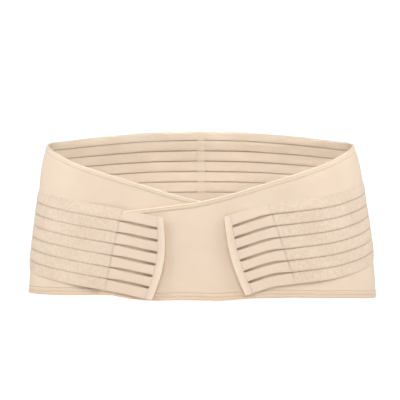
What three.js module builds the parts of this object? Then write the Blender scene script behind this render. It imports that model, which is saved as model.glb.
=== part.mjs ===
// Abdominal binder: a wrap of smooth laminated cloth that crosses at the front, a slotted elastic
// back, and two slotted elastic straps that pull round the sides to hook tabs at the front.
// It stands on its lower edge. Millimetres, +Z up, the front faces -Y, left and right as seen
// from the front. "Around" is the distance along the girth from the front centre, positive to
// the right, and "out" is the distance out from the wrap's inner face.
import * as THREE from "three";

// The girth on which the wrap closes, at its lower edge.
const HALF_WIDTH = 171;
const HALF_DEPTH = 94;
const SIDE_HEIGHT = 153;
// How much narrower the wrap is at the side's height than at its lower edge.
const WIDTH_TAPER = 20.8;
const DEPTH_TAPER = 9;
const SIDE_LEAN = 3.1;
const TAPER_POWER = 1.5;
const STATIONS = 48;

// Walls, and the gap that is kept between pieces that lie on each other or are sewn edge to edge.
const PANEL_WALL = 1.8;
const HEM_WALL = 2.3;
const STRAP_WALL = 2.2;
const PAD_WALL = 1;
const TAPE_WALL = 1.2;
const LAYER_GAP = 0.4;
const SEAM_GAP = 0.3;

// The wrap: where the front panels meet the back, how far each passes the front centre, and hems.
const SIDE_SEAM = 226;
const LEFT_OVERLAP = 88;
const RIGHT_OVERLAP = 100;
const LAP_RAMP = 36;
const LAP_MARGIN = 6;
const NECK_HEM = 5;
const BOTTOM_HEM = 7;
const EDGE_RISE = 6;
const PANEL_ROWS = 6;

// The slotted back.
const BACK_TOP_STRIP = 9.4;
const BACK_STRIPS = 14;
const BACK_SLIT = 1;
const BACK_BAR = 9;
const BACK_END = 7;

// The straps and their tabs. Slits in the elastic lie almost closed, and those in a tab are open.
const STRAP_WIDTH = 80.5;
const STRIPS = 7;
const STRAP_SLIT = 1;
const TAB_SLOT = 2.4;
const SLIT_END = 2;
const TAB_LENGTH = 42;
const TAB_HEM = 7;
const TAB_COLUMNS = 5;
const STRAP_EASE = 14;
const SLANT_EASE = 3.2;
const PAD_INSET = 5;
const PAD_LOWER_INSET = 12;
const TAPE_WIDTH = 18;
const LEFT_TAB = { side: -1, end: 38, slant: 13.5, bulge: 7, foot: 6 };
const RIGHT_TAB = { side: 1, end: 24, slant: 22, bulge: 4.7, foot: 4 };

// Each table gives shares: "around" of half the girth, counted from the front centre towards the
// piece's own side, heights of SIDE_HEIGHT, and rises of EDGE_RISE.
const TOP_EDGE = [
  { around: -0.26, height: 0.55 },
  { around: -0.1, height: 0.604 },
  { around: 0, height: 0.64 },
  { around: 0.07, height: 0.685 },
  { around: 0.146, height: 0.744 },
  { around: 0.228, height: 0.805 },
  { around: 0.325, height: 0.876 },
  { around: 0.405, height: 0.944 },
  { around: 0.49, height: 0.998 },
  { around: 0.6, height: 1.022 },
  { around: 0.74, height: 1.054 },
  { around: 0.86, height: 1.075 },
  { around: 1, height: 1.084 },
];
const LOWER_EDGE = [
  { around: -0.26, left: 0.8, right: 1.05 },
  { around: -0.21, left: 0.8, right: 0.98 },
  { around: -0.11, left: 0.8, right: 0.35 },
  { around: 0, left: 0.8, right: 0.5 },
  { around: 0.22, left: 1, right: 0.65 },
  { around: 0.33, left: 0.95, right: 0.5 },
  { around: 0.47, left: 0.7, right: 0.05 },
  { around: 0.53, left: 0, right: 0 },
];
const STRAP_TOP = [
  { around: 0.04, left: 0.52, right: 0.533 },
  { around: 0.1, left: 0.543, right: 0.582 },
  { around: 0.15, left: 0.568, right: 0.618 },
  { around: 0.19, left: 0.59, right: 0.635 },
  { around: 0.26, left: 0.619, right: 0.655 },
  { around: 0.325, left: 0.642, right: 0.674 },
  { around: 0.4, left: 0.672, right: 0.716 },
  { around: 0.49, left: 0.709, right: 0.77 },
  { around: 0.66, left: 0.762, right: 0.806 },
  { around: 0.85, left: 0.804, right: 0.82 },
  { around: 1, left: 0.824, right: 0.824 },
];

const NUDE_CLOTH = new THREE.MeshStandardMaterial({ color: 0xefdac4, roughness: 0.85 });
const NUDE_ELASTIC = new THREE.MeshStandardMaterial({ color: 0xecd5bf, roughness: 0.9 });
const NUDE_BINDING = new THREE.MeshStandardMaterial({ color: 0xf1dcc4, roughness: 0.8 });
const HOOK_TAPE = new THREE.MeshStandardMaterial({ color: 0xdfc8b0, roughness: 0.7 });

// The oval runs from the front centre round the right side. Stations are the places of the
// columns, closer together where the sides turn, and the same for every layer.
const girth = new THREE.EllipseCurve(
  0, 0, HALF_WIDTH, HALF_DEPTH, -Math.PI / 2, 1.5 * Math.PI,
);
const stationsOnce = girth.getLengths(STATIONS);
const stationTurn = stationsOnce[STATIONS];
girth.arcLengthDivisions = 1440;
const GIRTH = girth.getLength();
const HALF_GIRTH = GIRTH / 2;
const stations = [-1, 0].flatMap((turn) =>
  stationsOnce.slice(1).map((place) => (place / stationTurn + turn) * GIRTH),
);

const smoothstep = THREE.MathUtils.smoothstep;

// How far out each layer starts. The right panel laps over the left one as far as LAP_END, and
// the hook pads and tabs lie over both. Behind them the straps come down onto one panel.
const WRAP_LAYER = Math.max(PANEL_WALL, HEM_WALL) + LAYER_GAP;
const TAB_OUT = 2 * WRAP_LAYER + PAD_WALL + LAYER_GAP;
const TAPE_OUT = WRAP_LAYER + STRAP_WALL + LAYER_GAP;
const LAP_END = Math.max(LEFT_OVERLAP + LAP_MARGIN, RIGHT_OVERLAP);

// A smooth line through one column of a table, as a function of the distance around.
function lineThrough(table, column, size) {
  const places = table.map((row) => row.around * HALF_GIRTH);
  const values = table.map((row) => row[column] * size);
  const spline = new THREE.CubicInterpolant(places, values, 1);
  const last = places.length - 1;
  return (around) =>
    spline.evaluate(THREE.MathUtils.clamp(around, places[0], places[last]))[0];
}
const topEdge = lineThrough(TOP_EDGE, "height", SIDE_HEIGHT);
const lowerEdge = {
  "-1": lineThrough(LOWER_EDGE, "left", EDGE_RISE),
  1: lineThrough(LOWER_EDGE, "right", EDGE_RISE),
};
const strapTop = {
  "-1": lineThrough(STRAP_TOP, "left", SIDE_HEIGHT),
  1: lineThrough(STRAP_TOP, "right", SIDE_HEIGHT),
};

// The point at a distance around, a height and a distance out.
function onWrap(around, height, out) {
  const share = THREE.MathUtils.euclideanModulo(around / GIRTH, 1);
  const point = girth.getPointAt(share);
  const run = girth.getTangentAt(share);
  const taper = (Math.max(height, 0) / SIDE_HEIGHT) ** TAPER_POWER;
  return new THREE.Vector3(
    point.x * (1 - (WIDTH_TAPER / HALF_WIDTH) * taper) - SIDE_LEAN * taper + run.y * out,
    point.y * (1 - (DEPTH_TAPER / HALF_DEPTH) * taper) - run.x * out,
    height,
  );
}

// The columns of a piece: its two ends and the stations between them.
function columnsBetween(from, to) {
  const margin = GIRTH / STATIONS / 5;
  const inside = stations.filter((place) => place > from + margin && place < to - margin);
  return [from, ...inside, to];
}

function evenSteps(count) {
  return Array.from({ length: count + 1 }, (_, step) => step / count);
}

// A wall of cloth as one closed solid. place(column, row, face) gives the point of the inner face
// (0) or outer face (1), and isOpen(column index, row index) says which cells are cut through.
function clothWall(columns, rows, place, isOpen = () => false) {
  const points = [];
  const filled = (column, row) =>
    column >= 0 && row >= 0 && column < columns.length - 1 && row < rows.length - 1 &&
    !isOpen(column, row);
  const corner = (column, row, face) => place(columns[column], rows[row], face);
  const quad = (a, b, c, d) => points.push(a, b, c, a, c, d);
  for (let column = 0; column < columns.length - 1; column++)
    for (let row = 0; row < rows.length - 1; row++) {
      if (!filled(column, row)) continue;
      const [inLow, inNextLow, inNext, inHigh, outLow, outNextLow, outNext, outHigh] = [
        [0, 0, 0], [1, 0, 0], [1, 1, 0], [0, 1, 0], [0, 0, 1], [1, 0, 1], [1, 1, 1], [0, 1, 1],
      ].map(([along, up, face]) => corner(column + along, row + up, face));
      quad(outLow, outNextLow, outNext, outHigh);
      quad(inLow, inHigh, inNext, inNextLow);
      if (!filled(column, row - 1)) quad(inLow, inNextLow, outNextLow, outLow);
      if (!filled(column, row + 1)) quad(inHigh, outHigh, outNext, inNext);
      if (!filled(column - 1, row)) quad(inLow, outLow, outHigh, inHigh);
      if (!filled(column + 1, row)) quad(inNextLow, inNext, outNext, outNextLow);
    }
  return new THREE.BufferGeometry().setFromPoints(points);
}

function piece(name, geometry, material) {
  geometry.computeVertexNormals();
  const mesh = new THREE.Mesh(geometry, material);
  mesh.name = name;
  return mesh;
}

// Rows of a slotted wall, from low to high: strip, slit, strip and so on. Odd cells are slits.
function slottedRows(centres, slit) {
  return [0, ...centres.flatMap((centre) => [centre - slit / 2, centre + slit / 2]), 1];
}

// The back: one slotted elastic panel from seam to seam, with a bar down its centre.
function backPanel() {
  const from = SIDE_SEAM + SEAM_GAP;
  const to = GIRTH - SIDE_SEAM - SEAM_GAP;
  const bar = [HALF_GIRTH - BACK_BAR / 2, HALF_GIRTH + BACK_BAR / 2];
  const slots = [from + BACK_END, ...bar, to - BACK_END];
  const columns = [
    from,
    ...columnsBetween(slots[0], slots[1]),
    ...columnsBetween(slots[2], slots[3]),
    to,
  ];
  const height = topEdge(HALF_GIRTH) - BOTTOM_HEM - SEAM_GAP;
  const slottedShare = 1 - BACK_TOP_STRIP / height;
  const centres = evenSteps(BACK_STRIPS).slice(1).map((share) => share * slottedShare);
  const rows = slottedRows(centres, BACK_SLIT / height);
  const place = (around, share, face) => {
    const top = topEdge(Math.min(around, GIRTH - around));
    const low = BOTTOM_HEM + SEAM_GAP;
    return onWrap(around, low + share * (top - low), face * PANEL_WALL);
  };
  const isOpen = (column, row) => {
    const middle = (columns[column] + columns[column + 1]) / 2;
    const slotted = middle > slots[0] && middle < slots[3];
    return row % 2 === 1 && slotted && Math.abs(middle - HALF_GIRTH) > BACK_BAR / 2;
  };
  return piece("back_panel", clothWall(columns, rows, place, isOpen), NUDE_ELASTIC);
}

// A front panel's own side, where it ends past the front centre, and how far out it lies there.
const LEFT_FRONT = { side: -1, overlap: LEFT_OVERLAP, out: () => 0 };
const RIGHT_FRONT = {
  side: 1,
  overlap: RIGHT_OVERLAP,
  out: (reach) => {
    const low = LEFT_OVERLAP + LAP_MARGIN;
    return WRAP_LAYER * (1 - smoothstep(reach, low, low + LAP_RAMP));
  },
};

// A band of a front panel between two heights given for each distance around.
function frontBand({ side, overlap, out }, wall, rows, heightAt) {
  const ends = [-side * overlap, side * SIDE_SEAM].sort((a, b) => a - b);
  const place = (around, share, face) => {
    const reach = around * side;
    return onWrap(around, heightAt(reach, share), out(reach) + face * wall);
  };
  return clothWall(columnsBetween(...ends), rows, place);
}

function frontPanel(name, front) {
  const heightAt = (reach, share) => {
    const low = lowerEdge[front.side](reach) + BOTTOM_HEM + SEAM_GAP;
    const high = topEdge(reach) - NECK_HEM - SEAM_GAP;
    return low + share * (high - low);
  };
  return piece(name, frontBand(front, PANEL_WALL, evenSteps(PANEL_ROWS), heightAt), NUDE_CLOTH);
}

function neckHem(name, front) {
  const heightAt = (reach, share) => topEdge(reach) - (1 - share) * NECK_HEM;
  return piece(name, frontBand(front, HEM_WALL, [0, 1], heightAt), NUDE_BINDING);
}

function bottomHem(name, front) {
  const heightAt = (reach, share) => lowerEdge[front.side](reach) + share * BOTTOM_HEM;
  return piece(name, frontBand(front, HEM_WALL, [0, 1], heightAt), NUDE_BINDING);
}

function backBottomHem() {
  const columns = columnsBetween(SIDE_SEAM + SEAM_GAP, GIRTH - SIDE_SEAM - SEAM_GAP);
  const place = (around, share, face) => onWrap(around, share * BOTTOM_HEM, face * PANEL_WALL);
  return piece("back_bottom_hem", clothWall(columns, [0, 1], place), NUDE_BINDING);
}

// How far out a strap lies: over both front panels and the hook pad, then on the side panel.
function strapOut(reach) {
  const down = smoothstep(reach, LAP_END, LAP_END + LAP_RAMP + STRAP_EASE);
  return THREE.MathUtils.lerp(TAB_OUT, WRAP_LAYER, down);
}

// A point of a strap or its tab: reach from the front centre, share of the width down from the top.
function onStrap(side, reach, down, out) {
  return onWrap(side * reach, strapTop[side](reach) - down * STRAP_WIDTH, out);
}

// The slanted line where a tab joins its elastic, and the tab's rounded free end.
const seamReach = (tab, down) => tab.end + TAB_LENGTH + tab.slant * down;
const endReach = (tab, down) =>
  tab.end + (tab.slant - tab.foot) * down - tab.bulge * Math.sin(Math.PI * down);

// Rows of a strap, counted from its lower edge up, because a wall's rows run from low to high.
function strapRows(slit) {
  const centres = evenSteps(STRIPS).slice(1, -1);
  return slottedRows(centres, slit / STRAP_WIDTH);
}

// The elastic of a strap, from the tape at the back centre to the tab's seam.
function strap(name, tab) {
  const seam = seamReach(tab, 0) + SEAM_GAP;
  const straight = seam + SLANT_EASE * tab.slant;
  const far = HALF_GIRTH - SEAM_GAP;
  const reaches = [
    seam,
    ...columnsBetween(seam + SLIT_END, far - TAPE_WIDTH / 2),
    far,
  ];
  const columns = tab.side > 0 ? reaches : reaches.toReversed();
  const place = (reach, share, face) => {
    const down = 1 - share;
    const slanted = reach + tab.slant * down * (1 - smoothstep(reach, seam, straight));
    return onStrap(tab.side, slanted, down, strapOut(slanted) + face * STRAP_WALL);
  };
  const isOpen = (column, row) =>
    row % 2 === 1 && column > 0 && column < columns.length - 2;
  return piece(name, clothWall(columns, strapRows(STRAP_SLIT), place, isOpen), NUDE_ELASTIC);
}

// The tab: the strap's free end in firm cloth, its slots open from the seam to the end hem.
function strapTab(name, tab) {
  const hemShare = 1 - TAB_HEM / TAB_LENGTH;
  const along = [...evenSteps(TAB_COLUMNS).map((share) => share * hemShare), 1];
  const columns = tab.side > 0 ? along.toReversed() : along;
  const hemColumn = tab.side > 0 ? 0 : columns.length - 2;
  const place = (share, up, face) => {
    const down = 1 - up;
    const reach = THREE.MathUtils.lerp(seamReach(tab, down), endReach(tab, down), share);
    return onStrap(tab.side, reach, down, strapOut(reach) + face * STRAP_WALL);
  };
  const isOpen = (column, row) => row % 2 === 1 && column !== hemColumn;
  return piece(name, clothWall(columns, strapRows(TAB_SLOT), place, isOpen), NUDE_CLOTH);
}

// The hook fastener behind a tab.
function hookPad(name, tab) {
  const columns = tab.side > 0 ? evenSteps(TAB_COLUMNS).toReversed() : evenSteps(TAB_COLUMNS);
  const place = (share, up, face) => {
    const span = STRAP_WIDTH - PAD_INSET - PAD_LOWER_INSET;
    const down = (PAD_INSET + (1 - up) * span) / STRAP_WIDTH;
    const from = seamReach(tab, down) - PAD_INSET;
    const to = endReach(tab, down) + PAD_INSET;
    const reach = THREE.MathUtils.lerp(from, to, share);
    const out = strapOut(reach) - LAYER_GAP - (1 - face) * PAD_WALL;
    return onStrap(tab.side, reach, down, out);
  };
  return piece(name, clothWall(columns, evenSteps(PANEL_ROWS), place), HOOK_TAPE);
}

// The tape at the back centre, over the ends of both straps.
function backTape() {
  const from = HALF_GIRTH - TAPE_WIDTH / 2;
  const place = (around, share, face) => {
    const high = strapTop[1](HALF_GIRTH);
    return onWrap(around, high - (1 - share) * STRAP_WIDTH, TAPE_OUT + face * TAPE_WALL);
  };
  const columns = columnsBetween(from, from + TAPE_WIDTH);
  return piece("back_tape", clothWall(columns, evenSteps(PANEL_ROWS), place), NUDE_BINDING);
}

const binder = new THREE.Group();
binder.add(
  backPanel(),
  backBottomHem(),
  frontPanel("left_front_panel", LEFT_FRONT),
  neckHem("left_neck_hem", LEFT_FRONT),
  bottomHem("left_bottom_hem", LEFT_FRONT),
  frontPanel("right_front_panel", RIGHT_FRONT),
  neckHem("right_neck_hem", RIGHT_FRONT),
  bottomHem("right_bottom_hem", RIGHT_FRONT),
  strap("left_strap", LEFT_TAB),
  strapTab("left_tab", LEFT_TAB),
  hookPad("left_hook_pad", LEFT_TAB),
  strap("right_strap", RIGHT_TAB),
  strapTab("right_tab", RIGHT_TAB),
  hookPad("right_hook_pad", RIGHT_TAB),
  backTape(),
);

// The origin is the middle of the binder's box, on the surface that it stands on.
const box = new THREE.Box3().setFromObject(binder);
const middle = box.getCenter(new THREE.Vector3());
binder.position.set(-middle.x, -middle.y, -box.min.z);

export default binder;
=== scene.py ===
import math

import bpy
import mathutils
import numpy as np
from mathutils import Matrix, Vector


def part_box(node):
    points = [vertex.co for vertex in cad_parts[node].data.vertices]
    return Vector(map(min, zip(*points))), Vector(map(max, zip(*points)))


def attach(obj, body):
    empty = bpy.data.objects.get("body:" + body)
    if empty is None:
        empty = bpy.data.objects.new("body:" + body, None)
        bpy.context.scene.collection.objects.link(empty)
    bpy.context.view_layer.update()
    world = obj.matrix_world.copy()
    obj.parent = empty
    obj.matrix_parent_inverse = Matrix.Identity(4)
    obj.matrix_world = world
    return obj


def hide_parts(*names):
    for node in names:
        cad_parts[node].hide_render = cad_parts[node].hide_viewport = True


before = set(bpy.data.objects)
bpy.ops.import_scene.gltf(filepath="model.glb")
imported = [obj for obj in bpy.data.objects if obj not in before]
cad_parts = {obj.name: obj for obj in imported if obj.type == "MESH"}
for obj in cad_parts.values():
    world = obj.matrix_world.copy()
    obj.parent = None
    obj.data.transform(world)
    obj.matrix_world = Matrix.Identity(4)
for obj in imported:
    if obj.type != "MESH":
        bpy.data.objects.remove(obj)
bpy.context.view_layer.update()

# The closed belt.
# The binder is cut flat, closed round an oval and stood on its lower edge, a little narrower at
# the top than at the bottom. Left and right are as seen from the front, which faces -Y.
MM = 0.001
HALF_WIDTH = 171.7 * MM
HALF_DEPTH = 94 * MM
SIDE_HEIGHT = 153 * MM
WIDTH_TAPER = 20.8 * MM
DEPTH_TAPER = 9 * MM
SIDE_LEAN = 1.9 * MM
TAPER_POWER = 1.5
# From FULL_FROM up to the side's height the cloth swells out, by up to FULLNESS.
FULLNESS = 2.0 * MM
FULL_FROM = 95 * MM
FULL_POWER = 1.4
# Cloth is never quite even: the depth of its soft waves, and their length.
RIPPLE = 0.5 * MM
RIPPLE_LENGTH = 85 * MM
# Walls, and the gap between pieces that lie on each other or are sewn edge to edge.
PANEL_WALL = 1.8 * MM
HEM_WALL = 2.3 * MM
LAYER_GAP = 0.4 * MM
SEAM_GAP = 0.1 * MM
BOTTOM_HEM = 7 * MM
OVAL_SIDES = 1440

turn = np.linspace(-math.pi / 2, 1.5 * math.pi, 10 * OVAL_SIDES + 1)
oval = np.stack([HALF_WIDTH * np.cos(turn), HALF_DEPTH * np.sin(turn)])
GIRTH = np.linalg.norm(np.diff(oval), axis=0).sum()
HALF_GIRTH = GIRTH / 2
hem_low, hem_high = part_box("back_bottom_hem")
CENTRE = ((hem_low.x + hem_high.x) / 2, hem_high.y - HALF_DEPTH - PANEL_WALL, 0)


def add_node(tree, kind, inputs=None, **settings):
    """A node with its settings, and its inputs by name or in order, as values or as links from
    sockets or from other nodes' first output."""
    node = tree.nodes.new(kind)
    for name, value in settings.items():
        setattr(node, name, value)
    named = inputs if isinstance(inputs, dict) else dict(enumerate(inputs or ()))
    for key, value in named.items():
        if isinstance(value, bpy.types.Node):
            value = value.outputs[0]
        if isinstance(value, bpy.types.NodeSocket):
            tree.links.new(value, node.inputs[key])
        else:
            node.inputs[key].default_value = value
    return node


def geometry_tree(name, sizes):
    """An empty Geometry Nodes tree with a mesh in and out, named sizes and a material."""
    tree = bpy.data.node_groups.new(name, "GeometryNodeTree")
    tree.interface.new_socket("Cloth", in_out="INPUT", socket_type="NodeSocketGeometry")
    for size, kind in sizes.items():
        tree.interface.new_socket(size, in_out="INPUT", socket_type="NodeSocket" + kind)
    tree.interface.new_socket("Material", in_out="INPUT", socket_type="NodeSocketMaterial")
    tree.interface.new_socket("Cloth", in_out="OUTPUT", socket_type="NodeSocketGeometry")
    return tree, tree.nodes.new("NodeGroupInput").outputs, tree.nodes.new("NodeGroupOutput")


def run_nodes(piece, tree, values):
    """Runs a Geometry Nodes tree on a piece and keeps the result as its plain mesh."""
    modifier = piece.modifiers.new(tree.name, "NODES")
    modifier.node_group = tree
    for item in tree.interface.items_tree:
        if item.in_out == "INPUT" and item.name in values:
            modifier[item.identifier] = values[item.name]
    seen = bpy.context.evaluated_depsgraph_get()
    mesh = bpy.data.meshes.new_from_object(
        piece.evaluated_get(seen), preserve_all_data_layers=True, depsgraph=seen
    )
    piece.modifiers.remove(modifier)
    piece.data = mesh


def end_tree(tree, mesh, material, output):
    """Ends a tree: its mesh is made real and gets its material."""
    whole = add_node(tree, "GeometryNodeRealizeInstances", {0: mesh})
    painted = add_node(
        tree, "GeometryNodeSetMaterial", {0: whole.outputs[0], "Material": material}
    )
    tree.links.new(painted.outputs[0], output)


# Bends flat cloth round the oval: X is the distance around from the front centre, Y the height
# and Z the distance out from the wrap's inner face.
WRAP_SIZES = {
    "Half width": HALF_WIDTH,
    "Half depth": HALF_DEPTH,
    "Side height": SIDE_HEIGHT,
    "Width taper": WIDTH_TAPER,
    "Depth taper": DEPTH_TAPER,
    "Side lean": SIDE_LEAN,
    "Taper power": TAPER_POWER,
    "Fullness": FULLNESS,
    "Full from": FULL_FROM,
    "Full power": FULL_POWER,
    "Ripple": RIPPLE,
    "Ripple length": RIPPLE_LENGTH,
}
wrap, size, wrapped = geometry_tree(
    "wrap_round_waist", {**dict.fromkeys(WRAP_SIZES, "Float"), "Centre": "Vector"}
)

circle = add_node(
    wrap, "GeometryNodeCurvePrimitiveCircle", {"Resolution": OVAL_SIDES, "Radius": 1.0}
)
front_first = add_node(
    wrap,
    "GeometryNodeTransform",
    {"Geometry": circle.outputs[0], "Rotation": (0, 0, -math.pi / 2)},
)
stretch = add_node(
    wrap,
    "ShaderNodeCombineXYZ",
    {"X": size["Half width"], "Y": size["Half depth"], "Z": 1.0},
)
waist = add_node(
    wrap,
    "GeometryNodeTransform",
    {"Geometry": front_first.outputs[0], "Scale": stretch.outputs[0]},
).outputs[0]
girth = add_node(wrap, "GeometryNodeCurveLength", {0: waist}).outputs[0]
flat = add_node(
    wrap, "ShaderNodeSeparateXYZ", {0: add_node(wrap, "GeometryNodeInputPosition").outputs[0]}
).outputs
turns = add_node(wrap, "ShaderNodeMath", (flat["X"], girth), operation="DIVIDE")
share = add_node(wrap, "ShaderNodeMath", (turns,), operation="FRACT")
place = add_node(
    wrap, "GeometryNodeSampleCurve", {"Curves": waist, "Factor": share}, mode="FACTOR"
).outputs
above_floor = add_node(wrap, "ShaderNodeMath", (flat["Y"], 0.0), operation="MAXIMUM")
high_share = add_node(
    wrap, "ShaderNodeMath", (above_floor, size["Side height"]), operation="DIVIDE"
)
taper = add_node(wrap, "ShaderNodeMath", (high_share, size["Taper power"]), operation="POWER")
scales = {}
for axis, taper_size, half_size in (
    ("X", size["Width taper"], size["Half width"]),
    ("Y", size["Depth taper"], size["Half depth"]),
):
    most = add_node(wrap, "ShaderNodeMath", (taper_size, half_size), operation="DIVIDE")
    less = add_node(wrap, "ShaderNodeMath", (most, taper), operation="MULTIPLY")
    scales[axis] = add_node(wrap, "ShaderNodeMath", (1.0, less), operation="SUBTRACT")
narrow = add_node(wrap, "ShaderNodeCombineXYZ", scales)
inner_face = add_node(
    wrap,
    "ShaderNodeVectorMath",
    {0: place["Position"], 1: narrow.outputs[0]},
    operation="MULTIPLY",
)
outward = add_node(
    wrap,
    "ShaderNodeVectorMath",
    {0: place["Tangent"], 1: (0, 0, 1)},
    operation="CROSS_PRODUCT",
)
waves = {
    axis: add_node(wrap, "ShaderNodeMath", (flat[axis], size["Ripple length"]), operation="DIVIDE")
    for axis in ("X", "Y")
}
ripple_place = add_node(wrap, "ShaderNodeCombineXYZ", waves)
ripple = add_node(
    wrap, "ShaderNodeTexNoise", {"Vector": ripple_place, "Scale": 1.0, "Detail": 0.0}
)
ripple_way = add_node(wrap, "ShaderNodeMath", (ripple, 0.5), operation="SUBTRACT")
ripple_out = add_node(wrap, "ShaderNodeMath", (ripple_way, size["Ripple"]), operation="MULTIPLY")
full_share = add_node(
    wrap,
    "ShaderNodeMapRange",
    {"Value": flat["Y"], "From Min": size["Full from"], "From Max": size["Side height"]},
)
full_bent = add_node(wrap, "ShaderNodeMath", (full_share, size["Full power"]), operation="POWER")
full_turn = add_node(wrap, "ShaderNodeMath", (full_bent, math.pi), operation="MULTIPLY")
full_arch = add_node(wrap, "ShaderNodeMath", (full_turn,), operation="SINE")
full_out = add_node(wrap, "ShaderNodeMath", (full_arch, size["Fullness"]), operation="MULTIPLY")
cloth_out = flat["Z"]
for extra in (ripple_out, full_out):
    cloth_out = add_node(wrap, "ShaderNodeMath", (cloth_out, extra), operation="ADD")
out_of_face = add_node(
    wrap,
    "ShaderNodeVectorMath",
    {0: outward.outputs[0], "Scale": cloth_out},
    operation="SCALE",
)
lean = add_node(wrap, "ShaderNodeMath", (size["Side lean"], taper), operation="MULTIPLY")
lean = add_node(wrap, "ShaderNodeMath", (lean, -1.0), operation="MULTIPLY")
stand = add_node(wrap, "ShaderNodeCombineXYZ", {"X": lean, "Z": flat["Y"]})
spot = inner_face.outputs[0]
for part in (out_of_face.outputs[0], stand.outputs[0], size["Centre"]):
    spot = add_node(wrap, "ShaderNodeVectorMath", {0: spot, 1: part}, operation="ADD").outputs[0]
bent = add_node(
    wrap, "GeometryNodeSetPosition", {"Geometry": size["Cloth"], "Position": spot}
)
end_tree(wrap, bent.outputs[0], size["Material"], wrapped.inputs[0])


def close_round_waist(piece, material, slot, *nodes):
    """Bends a flat piece round the waist and hands it over as a part of the belt."""
    values = {**WRAP_SIZES, "Centre": CENTRE, "Material": material}
    run_nodes(piece, wrap, values)
    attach(piece, "root")
    if nodes:
        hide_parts(*nodes)
    return piece


# The camera.
# It stands well back at the height of the belt's upper half, with a long lens, a little to the
# left of the middle and tipped down by about a degree.
VIEW_DISTANCE = 2.2
VIEW_HEIGHT = 140 * MM
VIEW_OFFSET = -2.4 * MM
VIEW_DROP = math.radians(1.115)
LENS_MM = 198
SENSOR_MM = 36
camera = bpy.data.objects.new("camera", bpy.data.cameras.new("camera"))
bpy.context.scene.collection.objects.link(camera)
camera.location = (CENTRE[0] + VIEW_OFFSET, CENTRE[1] - VIEW_DISTANCE, VIEW_HEIGHT)
camera.rotation_euler = (math.pi / 2 - VIEW_DROP, 0, 0)
camera.data.lens = LENS_MM
camera.data.sensor_width = SENSOR_MM
bpy.context.scene.camera = camera

# The slotted back.
# One panel of ribbed elastic from side seam to side seam. Rows of slits let it breathe, and
# their lips lie closed one over the other. A bar down the centre and both ends are left uncut.
SIDE_SEAM = 226 * MM
BACK_TOP_STRIP = 9.4 * MM
BACK_SLITS = 14
BACK_BAR = 9 * MM
BACK_END = 7 * MM
BACK_OVERLAP = 0.3 * MM
BACK_CROWN = -0.35 * MM
BACK_TILT = -0.35 * MM
SLIT_EASE = 5 * MM
# SLIT_SHADE is how far from a slit's lips shade is painted into the colour, the next value how
# dark it is painted on the back, and BAR_MARK how dark the marks are where a slit would run on.
SLIT_SHADE = 0.55 * MM
BACK_SLIT_SHADE_WEIGHT = 0.52
BAR_MARK = 0.3
# The lips of a slit lie this far apart on the flat cloth, before they overlap or open, and
# places that are closer to an edge than AT_EDGE are on it.
NOMINAL_SLIT = 0.1 * MM
AT_EDGE = NOMINAL_SLIT / 100
# The grid that a piece of cloth is made of: its columns along it, and its rows across one strip.
COLUMN = 4 * MM
STRIP_ROWS = 6
# A sewn edge turns round this many times more tightly than a free one.
SEWN_EDGE = 12
# The lower edge stands off the floor at the left side seam, and comes down behind it.
SIDE_RISE = 4.8 * MM
RISE_FADE = 80 * MM
# Shares of half the girth, from the front centre towards a piece's own side, and of SIDE_HEIGHT.
TOP_EDGE = {
    "around": (-0.26, -0.1, 0, 0.07, 0.146, 0.228, 0.325, 0.405, 0.49, 0.6, 0.74, 0.86, 1),
    "height": (
        0.55, 0.604, 0.64, 0.685, 0.744, 0.805, 0.876, 0.944, 0.998, 1.022, 1.057, 1.081, 1.09,
    ),
}
# How far in from its edge cloth has turned round, in shares of the edge's radius.
ROUND = 1 - np.cos(np.radians([0, 25, 50, 75]))


def smoothstep(value, low, high):
    """A share that eases from 0 at low to 1 at high."""
    share = np.clip((value - low) / (high - low), 0, 1)
    return share * share * (3 - 2 * share)


def smooth_line(table, column, size):
    """A smooth line through one column of a table of shares, as a function of the reach."""
    at = np.array(table["around"]) * HALF_GIRTH
    value = np.array(table[column]) * size
    slope = np.gradient(value, at)

    def line(reach):
        reach = np.clip(reach, at[0], at[-1])
        k = np.clip(np.searchsorted(at, reach) - 1, 0, len(at) - 2)
        step = at[k + 1] - at[k]
        t = (reach - at[k]) / step
        ends = value[k] * (1 + 2 * t) * (1 - t) ** 2 + value[k + 1] * t * t * (3 - 2 * t)
        return ends + step * t * (1 - t) * (slope[k] * (1 - t) - slope[k + 1] * t)

    return line


top_edge = smooth_line(TOP_EDGE, "height", SIDE_HEIGHT)


def steps(low, high, size, wall):
    """Places across a piece of cloth, crowded at both ends, where its edge turns round."""
    radius = wall / 2
    count = max(2, round((high - low) / size) + 1)
    inside = np.linspace(low + radius, high - radius, count)
    return np.concatenate([low + radius * ROUND, inside, high - radius * ROUND[::-1]])


def from_edges(columns, rows, low=1, high=1, start=1, end=1):
    """How far each point is from the nearest edge. Each edge has a factor: a sewn one counts as
    further off, because it turns round more tightly."""
    ends = np.minimum((columns - columns[0]) * start, (columns[-1] - columns) * end)[:, None]
    near = np.minimum(ends, np.minimum((rows - rows[0]) * low, (rows[-1] - rows) * high))
    return np.where(near < AT_EDGE, 0, near)


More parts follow.
